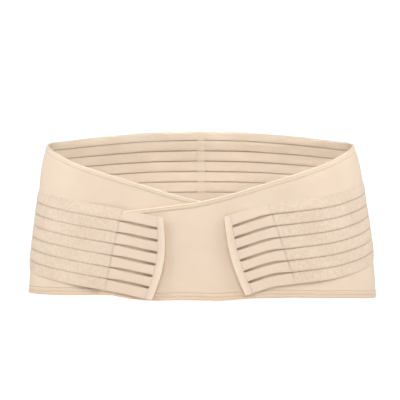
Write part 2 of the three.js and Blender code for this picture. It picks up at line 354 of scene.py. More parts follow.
def cloth(
    name, columns, rows, wall, near, lay, relief=0, shade=0, rim=0, is_open=None, turned=False
):
    """A piece of cloth, flat and with rounded edges. near is how far each point is from an edge,
    lay(u, v) gives the middle of the wall, relief raises its outer face, shade is how much shade
    is painted into each point's colour in and beside a slit, and rim how much highlight is painted
    along a rounded rim there."""
    u, v = np.meshgrid(columns, rows, indexing="ij")
    around, height, out = lay(u, v)
    edge = np.clip(near / (wall / 2), 0, 1)
    half = [(wall / 2 + extra) * np.sqrt(1 - (1 - edge) ** 2) for extra in (relief, 0)]
    face = np.arange(u.size).reshape(u.shape)
    back = np.where(near > 0, face + u.size, face)
    points = np.stack(
        [
            np.stack([around, height, out + side * thick], -1).reshape(-1, 3)
            for side, thick in zip((1, -1), half)
        ]
    ).reshape(-1, 3)
    kept = np.ones((u.shape[0] - 1, u.shape[1] - 1), bool)
    if is_open is not None:
        kept &= ~is_open
    outer, inner = [
        np.stack([f[:-1, :-1], f[1:, :-1], f[1:, 1:], f[:-1, 1:]], -1)[kept] for f in (face, back)
    ]
    quads = np.concatenate([outer, inner[:, ::-1]])
    if turned:
        quads = quads[:, ::-1]
    used, quads = np.unique(quads, return_inverse=True)
    quads = quads.reshape(-1, 4)
    mesh = bpy.data.meshes.new(name)
    mesh.from_pydata(points[used], [], quads)
    cut = np.stack([u, v], -1).reshape(-1, 2)[used % u.size]
    layer = mesh.uv_layers.new(name="cut")
    layer.data.foreach_set("uv", cut[quads.reshape(-1)].reshape(-1))
    # Painted shade beside slits and a painted highlight along rims, for the material to mix in.
    for attribute, value in (("slit_shade", shade), ("painted_highlight", rim)):
        layer = mesh.attributes.new(attribute, "FLOAT", "POINT")
        layer.data.foreach_set("value", (value + 0 * u).reshape(-1)[used % u.size])
    mesh.shade_smooth()
    piece = bpy.data.objects.new(name, mesh)
    bpy.context.scene.collection.objects.link(piece)
    return piece


def slotted_cloth(
    name, length, edges, slots, wall, look, lay, relief=None, rim=None, turned=False
):
    """Cloth with rows of slits. edges are the strips' edges across it, slots the stretches that
    are slit, and look how the strips overlap, crown and tilt there, how much shade is painted into
    them beside the slits, how dark the marks are where a slit would run on, and which edges are
    sewn."""
    start, end = length
    stops = sorted({start, end, *(s for slot in slots for s in slot[:2] if start < s < end)})
    spans = [steps(a, b, COLUMN, wall) for a, b in zip(stops, stops[1:])]
    columns = np.concatenate([spans[0], *(span[1:] for span in spans[1:])])
    strips = list(zip(edges, edges[1:]))
    last = len(strips) - 1
    low = [a + (NOMINAL_SLIT / 2 if k else 0) for k, (a, _) in enumerate(strips)]
    high = [b - (NOMINAL_SLIT / 2 if k < last else 0) for k, (_, b) in enumerate(strips)]
    across = [steps(a, b, (b - a) / STRIP_ROWS, wall) for a, b in zip(low, high)]
    rows = np.concatenate(across)
    strip = np.repeat(np.arange(len(strips)), [len(a) for a in across])
    low, high = np.array(low)[strip], np.array(high)[strip]
    centre, width = (low + high) / 2, high - low
    inside = np.max([np.minimum(columns - slot[0], slot[1] - columns) for slot in slots], axis=0)
    openness = np.max(
        [
            smoothstep(columns - slot[0], 0, slot[2]) * smoothstep(slot[1] - columns, 0, slot[3])
            for slot in slots
        ],
        axis=0,
    )
    past_end = np.maximum(-inside, 0)[:, None]
    to_slit = np.hypot(past_end, np.minimum(rows - low, high - rows))
    from_low = np.where(low == rows[0], width, rows - low)
    from_high = np.where(high == rows[-1], width, high - rows)
    from_lip = np.minimum(from_low, from_high)
    to_lip = np.hypot(past_end, from_lip)
    is_slit = (strip[1:] != strip[:-1]) & (
        np.minimum(inside[1:], inside[:-1]) > -NOMINAL_SLIT / 10
    )[:, None]

    def lay_strips(u, v):
        share = (v - centre) / (width / 2)
        opened = openness[:, None]
        is_side = (share > 0) & (high == rows[-1]) | (share < 0) & (low == rows[0])
        spread = np.where(is_side, 0, look["overlap"])
        around, height, out = lay(u, v + share * spread * opened / 2)
        lift = look["crown"] * (1 - share**4) - look["tilt"] * share
        return around, height, out + opened * lift

    # Shade painted into the colour in and beside the slits, with fainter marks where a slit would
    # run on.
    reach, weight = look["shade"](columns[:, None])
    shade = weight * np.exp(-((to_lip / reach) ** 2))
    shade = np.maximum(shade, look["mark"] * np.exp(-((from_lip / reach) ** 2)))
    extra = 0 if relief is None else relief(columns[:, None], rows)
    # The highlight painted along a rounded rim.
    bright = 0 if rim is None else rim(columns[:, None])
    near = np.minimum(to_slit, from_edges(columns, rows, *look["sewn"]))
    near[near < AT_EDGE] = 0
    return cloth(
        name, columns, rows, wall, near, lay_strips, extra, shade, bright, is_slit, turned
    )


def srgb(hex_colour):
    """A colour written as sRGB hex, as the linear one that a shader takes."""
    parts = [int(hex_colour[k : k + 2], 16) / 255 for k in (1, 3, 5)]
    return [c / 12.92 if c <= 0.04045 else ((c + 0.055) / 1.055) ** 2.4 for c in parts] + [1.0]


# A highlight painted along a rounded rim, where the light catches it.
RIM_HIGHLIGHT = "#FFEDD6"
# How far the loops bow between two wales, how much the wales and the yarn's relief count beside
# the fuzz, how coarse the fuzz is, and the soft patches of tone to a metre, each about 36 mm.
LOOP_BOW = 1.2
WALE_SHARE = 0.6
YARN_SHARE = 0.16
FUZZ = 0.6
PATCHES = 28.0
BUMP = 0.7
SPECULAR = 0.25


def knit(name, face, valley, slit, wale, course, depth, speckle, roughness, sheen):
    """A knitted cloth: wales run along one way of the cut and courses along the other. The
    yarn's valleys are a little darker than its face. In and beside a slit, shade is painted into
    the colour, and along a rounded rim a highlight is painted, by amounts that each piece stores
    per point."""
    material = bpy.data.materials.new(name)
    material.use_nodes = True
    tree = material.node_tree
    shader = tree.nodes["Principled BSDF"]
    cut = add_node(tree, "ShaderNodeUVMap", uv_map="cut").outputs[0]
    across = add_node(tree, "ShaderNodeSeparateXYZ", {0: cut}).outputs
    wale_turn = add_node(
        tree, "ShaderNodeMath", (across[0], 2 * math.pi / wale), operation="MULTIPLY"
    )
    course_turn = add_node(
        tree, "ShaderNodeMath", (across[1], 2 * math.pi / course), operation="MULTIPLY"
    )
    bow = add_node(tree, "ShaderNodeMath", (wale_turn,), operation="COSINE")
    bow = add_node(tree, "ShaderNodeMath", (bow, LOOP_BOW), operation="MULTIPLY")
    loops = add_node(tree, "ShaderNodeMath", (course_turn, bow), operation="ADD")
    loops = add_node(tree, "ShaderNodeMath", (loops,), operation="SINE")
    ribs = add_node(tree, "ShaderNodeMath", (wale_turn,), operation="SINE")
    ribs = add_node(tree, "ShaderNodeMath", (ribs, WALE_SHARE), operation="MULTIPLY")
    relief = add_node(tree, "ShaderNodeMath", (ribs, loops), operation="ADD")
    fuzz = add_node(
        tree, "ShaderNodeTexNoise", {"Vector": cut, "Scale": FUZZ / wale, "Detail": 3.0}
    ).outputs[0]
    yarn = add_node(
        tree, "ShaderNodeMath", (relief, YARN_SHARE, fuzz), operation="MULTIPLY_ADD"
    )
    dots = add_node(tree, "ShaderNodeMath", (yarn, 0.5), operation="SUBTRACT")
    dots = add_node(tree, "ShaderNodeMath", (dots, speckle), operation="MULTIPLY")
    patches = add_node(
        tree, "ShaderNodeTexNoise", {"Vector": cut, "Scale": PATCHES, "Detail": 2.0}
    ).outputs[0]
    tone = add_node(tree, "ShaderNodeMath", (patches, dots), operation="ADD")
    cloth_colour = add_node(
        tree, "ShaderNodeMix", {0: tone, 6: srgb(valley), 7: srgb(face)}, data_type="RGBA"
    )
    # Shade painted into the colour in and beside a slit.
    slit_shade_share = add_node(tree, "ShaderNodeAttribute", attribute_name="slit_shade")
    colour = add_node(
        tree,
        "ShaderNodeMix",
        {0: slit_shade_share.outputs["Fac"], 6: cloth_colour.outputs[2], 7: srgb(slit)},
        data_type="RGBA",
    )
    # A highlight painted along a rounded rim, where the light catches it.
    rim_highlight_share = add_node(tree, "ShaderNodeAttribute", attribute_name="painted_highlight")
    colour = add_node(
        tree,
        "ShaderNodeMix",
        {0: rim_highlight_share.outputs["Fac"], 6: colour.outputs[2], 7: srgb(RIM_HIGHLIGHT)},
        data_type="RGBA",
    )
    bump = add_node(
        tree, "ShaderNodeBump", {"Height": yarn, "Strength": BUMP, "Distance": depth}
    )
    tree.links.new(colour.outputs[2], shader.inputs["Base Color"])
    tree.links.new(bump.outputs[0], shader.inputs["Normal"])
    shader.inputs["Roughness"].default_value = roughness
    shader.inputs["Sheen Weight"].default_value = sheen
    shader.inputs["Specular IOR Level"].default_value = SPECULAR
    return material


# Ribbed elastic knit, made on a warp loom with covered rubber yarn. It gives the eye a stippled,
# dull, faintly pinkish nude. Its loops are under 1 mm, and are drawn at 2 mm to show.
RIB_WALE = 2.1 * MM
RIB_COURSE = 1.9 * MM
# On the back it is seen from its inner face, with flatter loops. Its valleys are also painted
# paler than on the straps, as painted light for the inside of the belt, which gets less light.
back_elastic = knit(
    "ribbed_elastic_inside", "#F0E1CD", "#E6D2BB", "#8A6B52", RIB_WALE, RIB_COURSE, 0.2 * MM, 0.5,
    0.85, 0.2
)

back_low = BOTTOM_HEM + SEAM_GAP
back_tall = top_edge(HALF_GIRTH) - back_low
back_slits = np.arange(1, BACK_SLITS + 1) / BACK_SLITS * (back_tall - BACK_TOP_STRIP)
back_start, back_end = SIDE_SEAM + SEAM_GAP, GIRTH - SIDE_SEAM - SEAM_GAP


def back_rise(u):
    """How far the back's lower edge stands off the floor, near the left side seam."""
    return SIDE_RISE * (1 - smoothstep(GIRTH - u, SIDE_SEAM, SIDE_SEAM + RISE_FADE))


def lay_back(u, v):
    """The back's top edge follows the line of the belt, and its lower edge stands on the floor."""
    high = top_edge(np.minimum(u, GIRTH - u))
    low = back_low + back_rise(u)
    return u, low + v / back_tall * (high - low), PANEL_WALL / 2 + 0 * v


back_panel = slotted_cloth(
    "back_elastic",
    (back_start, back_end),
    [0, *back_slits, back_tall],
    [
        (back_start + BACK_END, HALF_GIRTH - BACK_BAR / 2, SLIT_EASE, SLIT_EASE),
        (HALF_GIRTH + BACK_BAR / 2, back_end - BACK_END, SLIT_EASE, SLIT_EASE),
    ],
    PANEL_WALL,
    {
        "overlap": BACK_OVERLAP,
        "crown": BACK_CROWN,
        "tilt": BACK_TILT,
        "shade": lambda u: (SLIT_SHADE, BACK_SLIT_SHADE_WEIGHT),
        "mark": BAR_MARK,
        "sewn": (SEWN_EDGE, 1, SEWN_EDGE, SEWN_EDGE),
    },
    lay_back,
)
close_round_waist(back_panel, back_elastic, "slotted_elastic", "back_panel")

# The front panels.
# Two smooth panels of laminated jersey, foam-backed and cut to a point at the front centre. The
# right one laps over the left one, and rises over its end.
LEFT_OVERLAP = 88 * MM
RIGHT_OVERLAP = 100 * MM
LAP_RAMP = 36 * MM
LAP_MARGIN = 6 * MM
NECK_HEM = 5 * MM
EDGE_RISE = 6 * MM
# Shares of half the girth, from the front centre towards a panel's own side, and of EDGE_RISE.
LOWER_EDGE = {
    "around": (
        -0.26, -0.21, -0.16, -0.11, -0.05, 0, 0.04, 0.09, 0.18, 0.23, 0.28, 0.33, 0.47, 0.53,
    ),
    "left": (0.8, 0.8, 0.8, 0.8, 0.8, 0.8, 0.84, 0.9, 1.08, 1.18, 1.1, 0.98, 0.84, 0.8),
    "right": (1.2, 1.2, 0.66, 0.44, 0.56, 0.5, 0.46, 0.7, 0.86, 0.76, 0.6, 0.5, 0.05, 0),
}
PANEL_CELL = 5 * MM
SIDE_NAMES = {-1: "left", 1: "right"}
wrap_layer = HEM_WALL + LAYER_GAP
lower_edge = {
    side: smooth_line(LOWER_EDGE, word, EDGE_RISE) for side, word in SIDE_NAMES.items()
}
overlap = {-1: LEFT_OVERLAP, 1: RIGHT_OVERLAP}


def panel_out(side, reach):
    """How far out a front panel lies: the right one stands over the left one's end."""
    low = LEFT_OVERLAP + LAP_MARGIN
    over = 1 - smoothstep(reach, low, low + LAP_RAMP)
    return wrap_layer * over if side > 0 else 0 * reach


def front_band(name, side, low, high, wall, cell, sewn, relief=None, rim=None):
    """A band of a front panel between two heights, which are functions of the reach. sewn says
    whether its lower and its upper edge are sewn to the next band, and relief and rim give its
    swelling and the highlight painted along its rim, as functions of the place across it and of
    the reach."""
    ends = sorted((-side * overlap[side], side * (SIDE_SEAM - SEAM_GAP)))
    columns = steps(*ends, COLUMN, wall)
    reach = columns * side
    nominal = (high(reach) - low(reach)).max()
    rows = steps(0, nominal, cell, wall)

    def lay(u, v):
        reach = u * side
        height = low(reach) + v / nominal * (high(reach) - low(reach))
        return u, height, panel_out(side, reach) + wall / 2

    tight = [SEWN_EDGE if edge else 1 for edge in sewn]
    near = from_edges(columns, rows, *tight, SEWN_EDGE, SEWN_EDGE)
    thick = 0 if relief is None else relief(rows, reach[:, None])
    # The highlight painted along the rim.
    bright = 0 if rim is None else rim(rows, reach[:, None])
    return cloth(name, columns, rows, wall, near, lay, thick, rim=bright)


# Laminated jersey: a fine polyester knit bonded to thin foam. It gives the eye a smooth, matt,
# even nude with a soft bloom at grazing angles. Its loops are drawn at twice their size.
# JERSEY_KNIT holds its wale, course, relief and speckle.
JERSEY_KNIT = (1.0 * MM, 0.9 * MM, 0.06 * MM, 0.25)
jersey = knit("laminated_jersey", "#F4E0CA", "#E9D2BB", "#9A7B62", *JERSEY_KNIT, 0.8, 0.25)
for side, word in SIDE_NAMES.items():
    panel = front_band(
        f"{word}_front_jersey",
        side,
        lambda reach, side=side: lower_edge[side](reach) + BOTTOM_HEM + SEAM_GAP,
        lambda reach: top_edge(reach) - NECK_HEM - SEAM_GAP,
        PANEL_WALL,
        PANEL_CELL,
        (True, True),
    )
    close_round_waist(panel, jersey, "panel_cloth", f"{word}_front_panel")

# The neckline hems.
# The panel's own cloth folded over along its slanted top edge: a tight round rim, and a row of
# stitches near the fold's raw edge.
RIM = 1.4 * MM
RIM_SWELL = 0.5 * MM
# RIM_PALE is how much highlight is painted along the rim.
RIM_PALE = 0.75
RIM_FADE = 120 * MM
RIM_END = 30 * MM
GROOVE_FADE = (95 * MM, 150 * MM)
HEM_CELL = 0.45 * MM
STITCH_INSET = 0.9 * MM
STITCH_SINK = 0.2 * MM
STITCH_REACH = 0.45 * MM
HEM_FLUSH = 1.6 * MM
# The same jersey drawn tight over its fold, with more bloom. Its nude is painted a little paler,
# as painted light for the rounded fold that catches the light.
folded_jersey = knit(
    "folded_jersey_hem", "#F5E1CB", "#EBD4BC", "#9A7B62", *JERSEY_KNIT, 0.75, 0.3
)


def to_panel(from_seam):
    """How much a hem thins to meet the panel at its seam."""
    return (HEM_WALL - PANEL_WALL) * (smoothstep(from_seam, 0, HEM_FLUSH) - 1)


def neck_rim_highlight(v, reach):
    """The highlight painted along the rim, which fades out towards the seam."""
    over = 1 - smoothstep(v.max() - v, RIM * 0.5, RIM * 1.2)
    return RIM_PALE * over * (1 - smoothstep(reach, RIM_FADE, SIDE_SEAM - RIM_END))


def neck_relief(v, reach):
    """The round rim along the top of the hem, which flattens out towards the side seam, and the
    groove that its stitches pull in."""
    from_top = v.max() - v
    rim = RIM_SWELL * (1 - smoothstep(from_top, RIM * 0.8, RIM * 1.3))
    groove = STITCH_SINK * np.exp(-(((v - STITCH_INSET) / STITCH_REACH) ** 2))
    rim = rim * (1 - smoothstep(reach, RIM_FADE, SIDE_SEAM))
    return to_panel(v) + rim - groove * (1 - smoothstep(reach, *GROOVE_FADE))


for side, word in SIDE_NAMES.items():
    hem = front_band(
        f"{word}_neck_fold",
        side,
        lambda reach: top_edge(reach) - NECK_HEM,
        top_edge,
        HEM_WALL,
        HEM_CELL,
        (True, False),
        neck_relief,
        neck_rim_highlight,
    )
    close_round_waist(hem, folded_jersey, "hem_binding", f"{word}_neck_hem")

# The bottom hems.
# The lower edge of the panels and of the back, turned up and stitched once along its middle,
# which leaves two soft rolls with a groove between them.
HEM_GROOVE = 3 * MM
GROOVE_SINK = 0.45 * MM
GROOVE_REACH = 0.7 * MM
# The same jersey, three layers thick where it is turned up. It gives the eye a duller nude,
# painted slightly deeper than the smooth panel above it as painted shade, since the turned-up roll
# gets less light.
turned_jersey = knit(
    "turned_up_jersey_hem", "#EFD9C2", "#E6CEB5", "#9A7B62", *JERSEY_KNIT, 0.8, 0.25
)


def bottom_relief(v, reach=0):
    """The groove between the two rolls."""
    from_seam = v.max() - v
    return to_panel(from_seam) - GROOVE_SINK * np.exp(-(((v - HEM_GROOVE) / GROOVE_REACH) ** 2))


for side, word in SIDE_NAMES.items():
    hem = front_band(
        f"{word}_bottom_fold",
        side,
        lower_edge[side],
        lambda reach, side=side: lower_edge[side](reach) + BOTTOM_HEM,
        HEM_WALL,
        HEM_CELL,
        (False, True),
        bottom_relief,
    )
    close_round_waist(hem, turned_jersey, "hem_binding", f"{word}_bottom_hem")

columns = steps(back_start, back_end, COLUMN, PANEL_WALL)
rows = steps(0, BOTTOM_HEM, HEM_CELL, PANEL_WALL)
back_hem = cloth(
    "back_bottom_fold",
    columns,
    rows,
    PANEL_WALL,
    from_edges(columns, rows, 1, SEWN_EDGE, SEWN_EDGE, SEWN_EDGE),
    lambda u, v: (u, back_rise(u) + v, PANEL_WALL / 2 + 0 * v),
    bottom_relief(rows),
)
close_round_waist(back_hem, turned_jersey, "hem_binding", "back_bottom_hem")

# The straps.
# Wide slotted elastic from the back centre round each side, over the wrap. It comes up over both
# front panels before its tab, and its top edge is bonded down so flat that it hardly shows.
STRAP_WIDTH = 80.5 * MM
STRAP_WALL = 1.3 * MM
STRIPS = 7
STRAP_OPENING = 0.1 * MM
STRAP_CROWN = 0.3 * MM
STRAP_TILT = 0.15 * MM
PAD_WALL = 0.8 * MM
STRAP_EASE = 14 * MM
SLANT_EASE = 3.2
TAPE_WIDTH = 18 * MM
TAB_LENGTH = 42 * MM
# The bond: how far in from an edge it reaches, the share of the wall that it leaves, and where
# round the side it takes hold of the lower edge and lets it go.
BOND = 10 * MM
BONDED_WALL = 0.12
SIDE_BOND = (140 * MM, 200 * MM)
SIDE_FREE = (235 * MM, 300 * MM)
# How dark shade is painted into the slits on each side, what is added by the tab's seam and how
# far behind it, and the broad soft shade painted round the left side: how dark, how wide and where
# it starts.
SLIT_SHADE_WEIGHT = {-1: 0.14, 1: 0.4}
SEAM_SHADE_WEIGHT = 0.18
SEAM_SHADE = (5 * MM, 30 * MM)
SIDE_SHADE_WEIGHT = 0.08
SIDE_SHADE = 1.6 * MM
SIDE_SHADE_SPAN = (150 * MM, 205 * MM)
# Shares of half the girth, from the front centre towards a strap's own side, and of SIDE_HEIGHT.
STRAP_TOP = {
    "around": (0.04, 0.1, 0.15, 0.165, 0.19, 0.26, 0.325, 0.4, 0.49, 0.66, 0.85, 1),
    "left": (0.52, 0.543, 0.568, 0.577, 0.59, 0.619, 0.642, 0.672, 0.709, 0.762, 0.804, 0.824),
    "right": (0.533, 0.582, 0.6225, 0.6315, 0.6385, 0.657, 0.676, 0.716, 0.77, 0.806, 0.82, 0.824),
}
# Where each tab's seam and end lie, how far they slant, how the end bulges and how far its foot
# goes beyond the slant, and how wide the end hem is.
TABS = {
    -1: {
        "seam": 80 * MM,
        "end": 38 * MM,
        "slant": 13.5 * MM,
        "bulge": 6.4 * MM,
        "foot": 4.4 * MM,
        "hem": 5.9 * MM,
    },
    1: {
        "seam": 66.8 * MM,
        "end": 22 * MM,
        "slant": 22 * MM,
        "bulge": 4.1 * MM,
        "foot": 4 * MM,
        "hem": 6 * MM,
    },
}
strap_top = {
    side: smooth_line(STRAP_TOP, word, SIDE_HEIGHT) for side, word in SIDE_NAMES.items()
}
strip_edges = np.linspace(0, STRAP_WIDTH, STRIPS + 1)
side_out = PANEL_WALL + SEAM_GAP
tab_out = wrap_layer + HEM_WALL + PAD_WALL + 2 * SEAM_GAP
lap_end = max(LEFT_OVERLAP + LAP_MARGIN, RIGHT_OVERLAP)
# The same elastic from its outer face, where the loops stand higher and the yarn shows more.
strap_elastic = knit(
    "ribbed_elastic_knit", "#F3E1CD", "#E0C8B1", "#825743", RIB_WALE, RIB_COURSE, 0.3 * MM, 1.3,
    0.85, 0.2
)


def bonded(v, hold, reach):
    """How far a strap's edge is bonded down to the cloth under it: its top edge as far as hold
    says, and its lower edge round the sides."""
    top = smoothstep(v, STRAP_WIDTH - BOND, STRAP_WIDTH) * hold
    at_side = smoothstep(reach, *SIDE_BOND) * (1 - smoothstep(reach, *SIDE_FREE))
    return top + (1 - smoothstep(v, 0, BOND)) * at_side


def strap_out(reach, v, hold=1):
    """How far out a strap's inner face lies: over both front panels, then on the side panel, and
    down on the cloth under it where it is bonded."""
    down = smoothstep(reach, lap_end, lap_end + LAP_RAMP + STRAP_EASE)
    up = tab_out + (side_out - tab_out) * down
    under = side_out + panel_out(1, reach - LAP_MARGIN)
    return up + (under - up) * bonded(v, hold, reach)


def thinned(wall, v, hold=1, reach=0):
    """Half the wall of a strap, which thins towards a bonded edge."""
    return wall / 2 * (1 - (1 - BONDED_WALL) * bonded(v, hold, reach))


for side, word in SIDE_NAMES.items():
    tab = TABS[side]
    seam = tab["seam"]
    strap_length = HALF_GIRTH - SEAM_GAP - seam

    def lay_strap(u, v, side=side, tab=tab, seam=seam):
        down = 1 - v / STRAP_WIDTH
        reach = seam + u + tab["slant"] * down * (1 - smoothstep(u, 0, SLANT_EASE * tab["slant"]))
        height = strap_top[side](reach) - down * STRAP_WIDTH
        out = strap_out(reach, v) + thinned(STRAP_WALL, v, 1, reach)
        return side * reach, height, out

    def strap_shade(u, side=side, seam=seam):
        """Painted shade beside the slits: darkest by the seam, and round the left side broad and
        soft, for the shade in the hollows between the strips.
        """
        soft = smoothstep(seam + u, *SIDE_SHADE_SPAN) * (side < 0)
        seamward = 1 - smoothstep(u, *SEAM_SHADE)
        depth = SLIT_SHADE_WEIGHT[side] + SIDE_SHADE_WEIGHT * soft + SEAM_SHADE_WEIGHT * seamward
        return SLIT_SHADE + (SIDE_SHADE - SLIT_SHADE) * soft, depth

    strap = slotted_cloth(
        f"{word}_strap_elastic",
        (0, strap_length),
        strip_edges,
        [(-2 * SLIT_EASE, strap_length - TAPE_WIDTH / 2, SLIT_EASE, SLIT_EASE)],
        STRAP_WALL,
        {
            "overlap": STRAP_OPENING,
            "crown": STRAP_CROWN,
            "tilt": STRAP_TILT,
            "shade": strap_shade,
            "mark": 0,
            "sewn": (1, 1, SEWN_EDGE, 1),
        },
        lay_strap,
        lambda u, v, seam=seam: thinned(STRAP_WALL, v, 1, seam + u) - STRAP_WALL / 2,
        turned=side < 0,
    )
    close_round_waist(strap, strap_elastic, "slotted_elastic", f"{word}_strap")

# The tabs.
# The straps' free ends in firm laminated jersey. Their slots stand open from the seam to the end
# hem, and the curved end lifts a little off the belt.
TAB_WALL = 1.5 * MM
TAB_SLOT = 2.2 * MM
TAB_CROWN = 0.25 * MM
TAB_TILT = 0.15 * MM
TAB_SLIT_SHADE_WEIGHT = 0.2
TAB_HOLD = (TAB_LENGTH * 0.2, TAB_LENGTH * 0.9)
TAB_LIFT = 2.8 * MM
TAB_OPENING = 17 * MM
TAB_CLOSING = 0.8 * MM
TAB_RIM = 1.0 * MM
# TAB_RIM_PALE is how much highlight is painted along the rim of the tab's end.
TAB_RIM_PALE = 0.6
# Two layers of the jersey bonded together. They give the eye the same smooth cloth, a little
# pinker and firmer. Inside the slots, shade is painted into the colour of the cut edges.
tab_jersey = knit(
    "firm_laminated_jersey", "#F0DEC9", "#E7CFBB", "#7E6049", *JERSEY_KNIT, 0.78, 0.25
)


def tab_hold(u):
    """The tab's top edge is bonded down at the seam and free at the end."""
    return 1 - smoothstep(u, *TAB_HOLD)


def tab_lift(u):
    """How far the tab's end stands off the belt."""
    return TAB_LIFT * smoothstep(u, TAB_LENGTH / 2, TAB_LENGTH)


def tab_relief(u, v, hem):
    """The end hem's round rim and the groove of its stitches."""
    from_end = TAB_LENGTH - u
    rim = RIM_SWELL * (1 - smoothstep(from_end, TAB_RIM * 0.8, TAB_RIM * 1.6))
    groove = STITCH_SINK * np.exp(-(((from_end - hem) / STITCH_REACH) ** 2))
    return rim - groove + thinned(TAB_WALL, v, tab_hold(u)) - TAB_WALL / 2


def tab_reach(tab, u, v):
    """The reach of a point of a tab, from its slanted seam to its rounded end."""
    down = 1 - v / STRAP_WIDTH
    seam = tab["seam"] + tab["slant"] * down
    end = tab["end"] + (tab["slant"] - tab["foot"]) * down - tab["bulge"] * np.sin(math.pi * down)
    return seam + (end - seam) * u / TAB_LENGTH


def tab_place(side, u, v):
    """The reach and the height of a point of a tab, or of what is fixed to it."""
    reach = tab_reach(TABS[side], u, v)
    return reach, strap_top[side](reach) - (STRAP_WIDTH - v)


for side, word in SIDE_NAMES.items():

    def lay_tab(u, v, side=side):
        reach, height = tab_place(side, u, v)
        hold = tab_hold(u)
        out = strap_out(reach, v, hold) + thinned(TAB_WALL, v, hold) + tab_lift(u)
        return side * reach, height, out

    tab = slotted_cloth(
        f"{word}_tab_jersey",
        (0, TAB_LENGTH),
        strip_edges,
        [(-SLIT_EASE, TAB_LENGTH - TABS[side]["hem"], TAB_OPENING, TAB_CLOSING)],
        TAB_WALL,
        {
            "overlap": -TAB_SLOT,
            "crown": TAB_CROWN,
            "tilt": TAB_TILT,
            "shade": lambda u: (SLIT_SHADE, TAB_SLIT_SHADE_WEIGHT),
            "mark": 0,
            "sewn": (1, 1, SEWN_EDGE, 1),
        },
        lay_tab,
        lambda u, v, hem=TABS[side]["hem"]: tab_relief(u, v, hem),
        # The highlight painted along the rim of the tab's end.
        lambda u: TAB_RIM_PALE * (1 - smoothstep(TAB_LENGTH - u, TAB_RIM * 0.5, TAB_RIM * 1.5)),
        turned=side > 0,
    )
    close_round_waist(tab, tab_jersey, "tab_cloth", f"{word}_tab")

# The hook pads.
# Hook fastener tape behind each tab, sewn on as one plain piece. Its hooks grip the front panel's
# own loops.
PAD_INSET = 5 * MM
PAD_SEAM_INSET = 0.5 * MM
PAD_LOWER_INSET = 8.5 * MM
# Nylon tape woven with hooks, which gives the eye a rough, slightly shiny and darker nude.
hook_tape = knit(
    "woven_hook_tape", "#E2CBB2", "#CDB294", "#7E6049", RIB_WALE, RIB_WALE, 0.3 * MM, 0.6, 0.6, 0.1
)
for side, word in SIDE_NAMES.items():

    def lay_pad(u, v, side=side):
        reach, height = tab_place(side, u, v)
        out = strap_out(reach, v, tab_hold(u)) - SEAM_GAP - PAD_WALL / 2
        return side * reach, height, out

    columns = steps(PAD_SEAM_INSET, TAB_LENGTH - PAD_INSET, COLUMN, PAD_WALL)
    rows = steps(PAD_LOWER_INSET, STRAP_WIDTH - PAD_INSET, COLUMN, PAD_WALL)
    near = from_edges(columns, rows)
    name = f"{word}_hook_tape"
    pad = cloth(name, columns, rows, PAD_WALL, near, lay_pad, turned=side > 0)
    close_round_waist(pad, hook_tape, "hook_tape", f"{word}_hook_pad")

# The tape at the back centre.
# A plain strip of the folded jersey laid over the ends of both straps, and sewn down along both
# of its sides.
TAPE_WALL = 1.2 * MM
TAPE_CELL = 2 * MM
tape_low = strap_top[1](HALF_GIRTH) - STRAP_WIDTH
tape_out = side_out + STRAP_WALL + STRAP_CROWN + SEAM_GAP
columns = steps(HALF_GIRTH - TAPE_WIDTH / 2, HALF_GIRTH + TAPE_WIDTH / 2, TAPE_CELL, TAPE_WALL)
rows = steps(0, STRAP_WIDTH, TAPE_CELL, TAPE_WALL)
tape = cloth(
    "back_woven_tape",
    columns,
    rows,
    TAPE_WALL,
    from_edges(columns, rows),
    lambda u, v: (u, tape_low + v, tape_out + TAPE_WALL / 2 + 0 * v),
)
close_round_waist(tape, folded_jersey, "hem_binding", "back_tape")

# The stitches.
# Nude polyester thread, one shade darker than the cloth: lockstitch rows along every hem, and a
# zigzag over each seam where cloth is joined to elastic.
STITCH_LENGTH = 2.6 * MM
STITCH_GAP = 0.9 * MM
THREAD = 0.22 * MM
ZIGZAG_WIDTH = 2.6 * MM
ZIGZAG_PITCH = 1.3 * MM
# How far the rows keep off the ends of what they sew.
TAB_MARGIN = 1.5 * MM
TAPE_MARGIN = 1.6 * MM
SEAM_MARGIN = 2 * MM
# Twisted polyester, which gives the eye fine nude beads with a faint shine. Its ply is drawn as
# soft changes of tone.
thread = bpy.data.materials.new("polyester_thread")
thread.use_nodes = True
thread_tree = thread.node_tree
thread_shader = thread_tree.nodes["Principled BSDF"]
ply = add_node(
    thread_tree,
    "ShaderNodeTexNoise",
    {
        "Vector": add_node(thread_tree, "ShaderNodeTexCoord").outputs["Object"],
        "Scale": 0.5 / THREAD,
        "Detail": 1.0,
    },
)
ply_colour = add_node(
    thread_tree,
    "ShaderNodeMix",
    {0: ply.outputs[0], 6: srgb("#DCC3A9"), 7: srgb("#EBD4BB")},
    data_type="RGBA",
)
thread_tree.links.new(ply_colour.outputs[2], thread_shader.inputs["Base Color"])
thread_shader.inputs["Roughness"].default_value = 0.55
thread_shader.inputs["Sheen Weight"].default_value = 0.2

